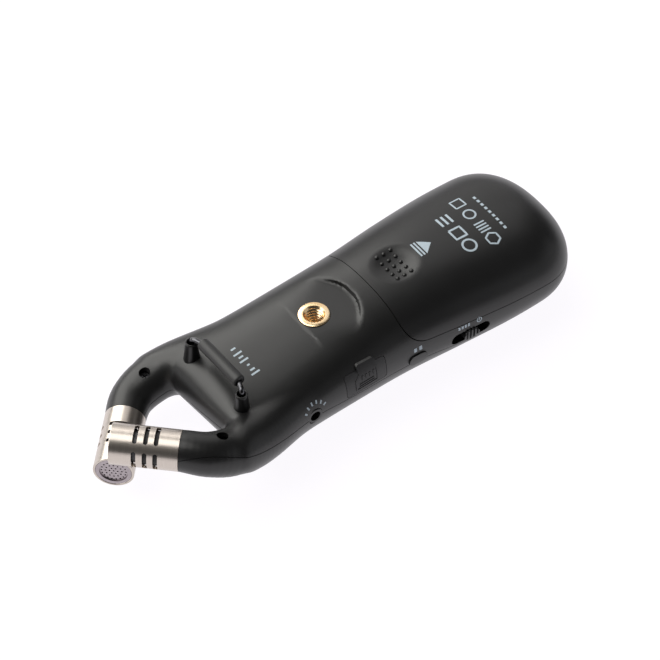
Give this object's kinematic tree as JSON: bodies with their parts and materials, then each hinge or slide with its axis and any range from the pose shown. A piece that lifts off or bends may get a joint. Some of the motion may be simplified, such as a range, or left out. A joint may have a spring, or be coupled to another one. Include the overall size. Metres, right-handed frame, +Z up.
{
  "type": "portable field recorder",
  "caption": "Handheld sound recorder lying face down: crossed microphones on two curved arms, sliding battery cover, wire bail, tripod socket, side jacks, card door and keys.",
  "frame": {"origin": "on the surface it lies on, under the middle of the recorder's length and width", "axes": "+Y to the microphones, +Z up through the rear cover and the tripod socket, -X the side with the line input and the card door"},
  "size_m": [0.0576, 0.1693, 0.0351],
  "materials": {
    "housing_plastic": "fine matte moulded black",
    "cover_plastic": "fine matte moulded black",
    "key_plastic": "satin black",
    "record_key_plastic": "satin red",
    "side_key_plastic": "matte black",
    "door_rubber": "matte",
    "grip_rubber": "matte",
    "post_rubber": "satin",
    "holder_rubber": "matte",
    "mic_metal": "satin, warm nickel tone",
    "cap_metal": "satin",
    "capsule_metal": "satin",
    "wire_steel": "dark bright plating",
    "socket_brass": "turned",
    "screw_steel": "black zinc",
    "contact_steel": "nickel plated",
    "board_laminate": "green solder mask",
    "chip_plastic": "matte",
    "lead_plastic": "satin",
    "display_glass": "clear dark",
    "module_plastic": "grey green",
    "lamp_plastic": "translucent red",
    "cell_wrap": "printed film",
    "port_metal": "plated",
    "card_plastic": "matte",
    "jack_plastic": "matte"
  },
  "bodies": {
    "recorder": {"arm_screws": "screw_steel", "bail_grip": "grip_rubber", "bail_posts": "post_rubber", "bail_wire": "wire_steel", "battery_contacts": "contact_steel", "battery_left": "cell_wrap", "battery_right": "cell_wrap", "battery_springs": "contact_steel", "battery_tray": "jack_plastic", "board_chips": "chip_plastic", "board_screws": "screw_steel", "capsule_holder_left": "holder_rubber", "capsule_holder_right": "holder_rubber", "card_slot": "port_metal", "data_port": "port_metal", "display_module": "module_plastic", "display_window": "display_glass", "front_housing": "housing_plastic", "headphone_jack": "jack_plastic", "key_board": "board_laminate", "key_switches": "port_metal", "line_in_jack": "jack_plastic", "main_board": "board_laminate", "mic_cap_left": "cap_metal", "mic_cap_right": "cap_metal", "mic_capsule_left": "capsule_metal", "mic_capsule_right": "capsule_metal", "mic_lead_left": "lead_plastic", "mic_lead_right": "lead_plastic", "mic_plugs": "jack_plastic", "mic_sleeve_left": "mic_metal", "mic_sleeve_right": "mic_metal", "power_switch": "port_metal", "rear_housing": "housing_plastic", "record_lamp": "lamp_plastic", "side_key_switch": "port_metal", "speaker": "capsule_metal", "tripod_insert": "socket_brass", "volume_switches": "port_metal"},
    "battery_cover": {"battery_cover": "cover_plastic"},
    "card_door": {"card_door": "door_rubber"},
    "memory_card": {"memory_card": "card_plastic"},
    "power_slider": {"power_slider": "side_key_plastic"},
    "side_key": {"side_key": "side_key_plastic"},
    "record_key": {"record_key": "record_key_plastic"},
    "rewind_key": {"rewind_key": "key_plastic"},
    "forward_key": {"forward_key": "key_plastic"},
    "stop_key": {"stop_key": "key_plastic"},
    "play_key": {"play_key": "key_plastic"},
    "menu_key": {"menu_key": "key_plastic"},
    "volume_up_key": {"volume_up_key": "side_key_plastic"},
    "volume_down_key": {"volume_down_key": "side_key_plastic"}
  },
  "joints": [
    {"name": "battery_cover_slide", "type": "slide", "parent": "recorder", "child": "battery_cover", "axis": [0, -1, 0], "range_m": [0, 0.075]},
    {"name": "card_door_hinge", "type": "hinge", "parent": "recorder", "child": "card_door", "pos_m": [-0.02285, 0.00166, 0.01585], "axis": [0, -1, 0], "range_deg": [0, 95]},
    {"name": "memory_card_press", "type": "slide", "parent": "recorder", "child": "memory_card", "axis": [1, 0, 0], "range_m": [0, 0.0006], "stiffness_N_per_m": 350},
    {"name": "power_slider_slide", "type": "slide", "parent": "recorder", "child": "power_slider", "axis": [0, -1, 0], "range_m": [-0.002, 0.002]},
    {"name": "side_key_press", "type": "slide", "parent": "recorder", "child": "side_key", "axis": [1, 0, 0], "range_m": [0, 0.0004], "stiffness_N_per_m": 350},
    {"name": "record_key_press", "type": "slide", "parent": "recorder", "child": "record_key", "axis": [0, 0, 1], "range_m": [0, 0.0004], "stiffness_N_per_m": 350},
    {"name": "rewind_key_press", "type": "slide", "parent": "recorder", "child": "rewind_key", "axis": [0, 0, 1], "range_m": [0, 0.0004], "stiffness_N_per_m": 350},
    {"name": "forward_key_press", "type": "slide", "parent": "recorder", "child": "forward_key", "axis": [0, 0, 1], "range_m": [0, 0.0004], "stiffness_N_per_m": 350},
    {"name": "stop_key_press", "type": "slide", "parent": "recorder", "child": "stop_key", "axis": [0, 0, 1], "range_m": [0, 0.0004], "stiffness_N_per_m": 350},
    {"name": "play_key_press", "type": "slide", "parent": "recorder", "child": "play_key", "axis": [0, 0, 1], "range_m": [0, 0.0004], "stiffness_N_per_m": 350},
    {"name": "menu_key_press", "type": "slide", "parent": "recorder", "child": "menu_key", "axis": [0, 0, 1], "range_m": [0, 0.0004], "stiffness_N_per_m": 350},
    {"name": "volume_up_key_press", "type": "slide", "parent": "recorder", "child": "volume_up_key", "axis": [-1, 0, 0], "range_m": [0, 0.0004], "stiffness_N_per_m": 350},
    {"name": "volume_down_key_press", "type": "slide", "parent": "recorder", "child": "volume_down_key", "axis": [-1, 0, 0], "range_m": [0, 0.0004], "stiffness_N_per_m": 350}
  ]
}
